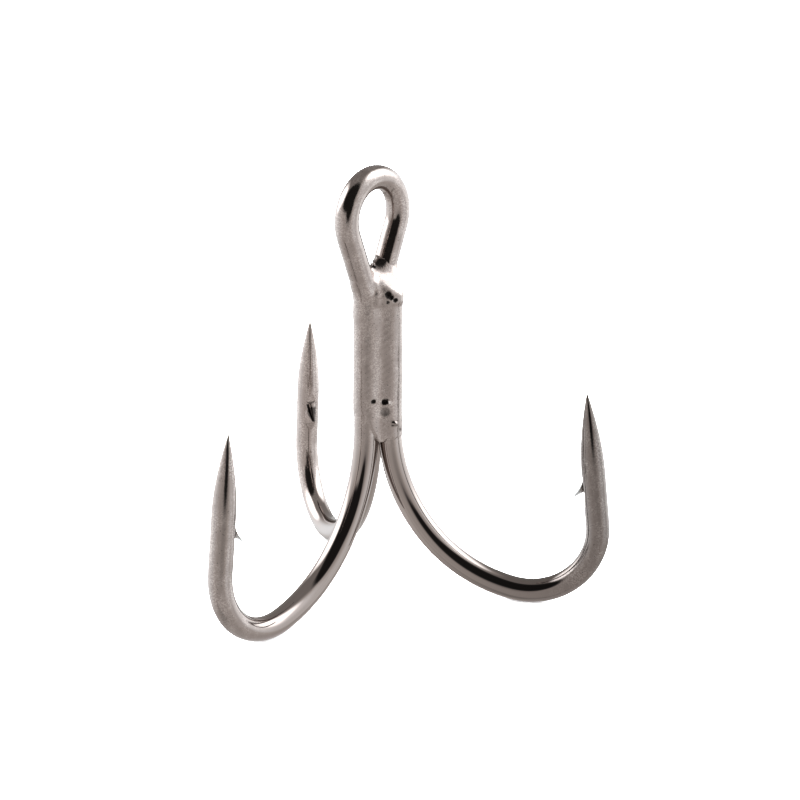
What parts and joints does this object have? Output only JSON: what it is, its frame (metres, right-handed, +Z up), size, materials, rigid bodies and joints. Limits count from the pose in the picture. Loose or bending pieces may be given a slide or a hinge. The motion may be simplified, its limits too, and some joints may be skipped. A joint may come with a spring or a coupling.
{
  "type": "treble hook",
  "caption": "Treble fishing hook: barbed needle-point hooks brazed back to back along a straight shank, under a teardrop line eye.",
  "frame": {"origin": "centre of the eye's round end", "axes": "+Z up the shank, towards the eye; +Y through the eye, square to its plane; the eyed hook points along -X"},
  "size_m": [0.0302, 0.0344, 0.0369],
  "materials": {
    "plated_wire": "black nickel plating over hardened steel wire, polished on the bends and softly brushed on the straight lengths",
    "plated_braze": "the same plating over braze metal, mottled, with small pits"
  },
  "bodies": {
    "root": {"eyed_hook": "plated_wire", "right_hook": "plated_wire", "left_hook": "plated_wire", "braze_core": "plated_braze", "right_fillet": "plated_braze", "left_fillet": "plated_braze", "rear_fillet": "plated_braze", "braze_neck": "plated_braze"}
  },
  "joints": []
}
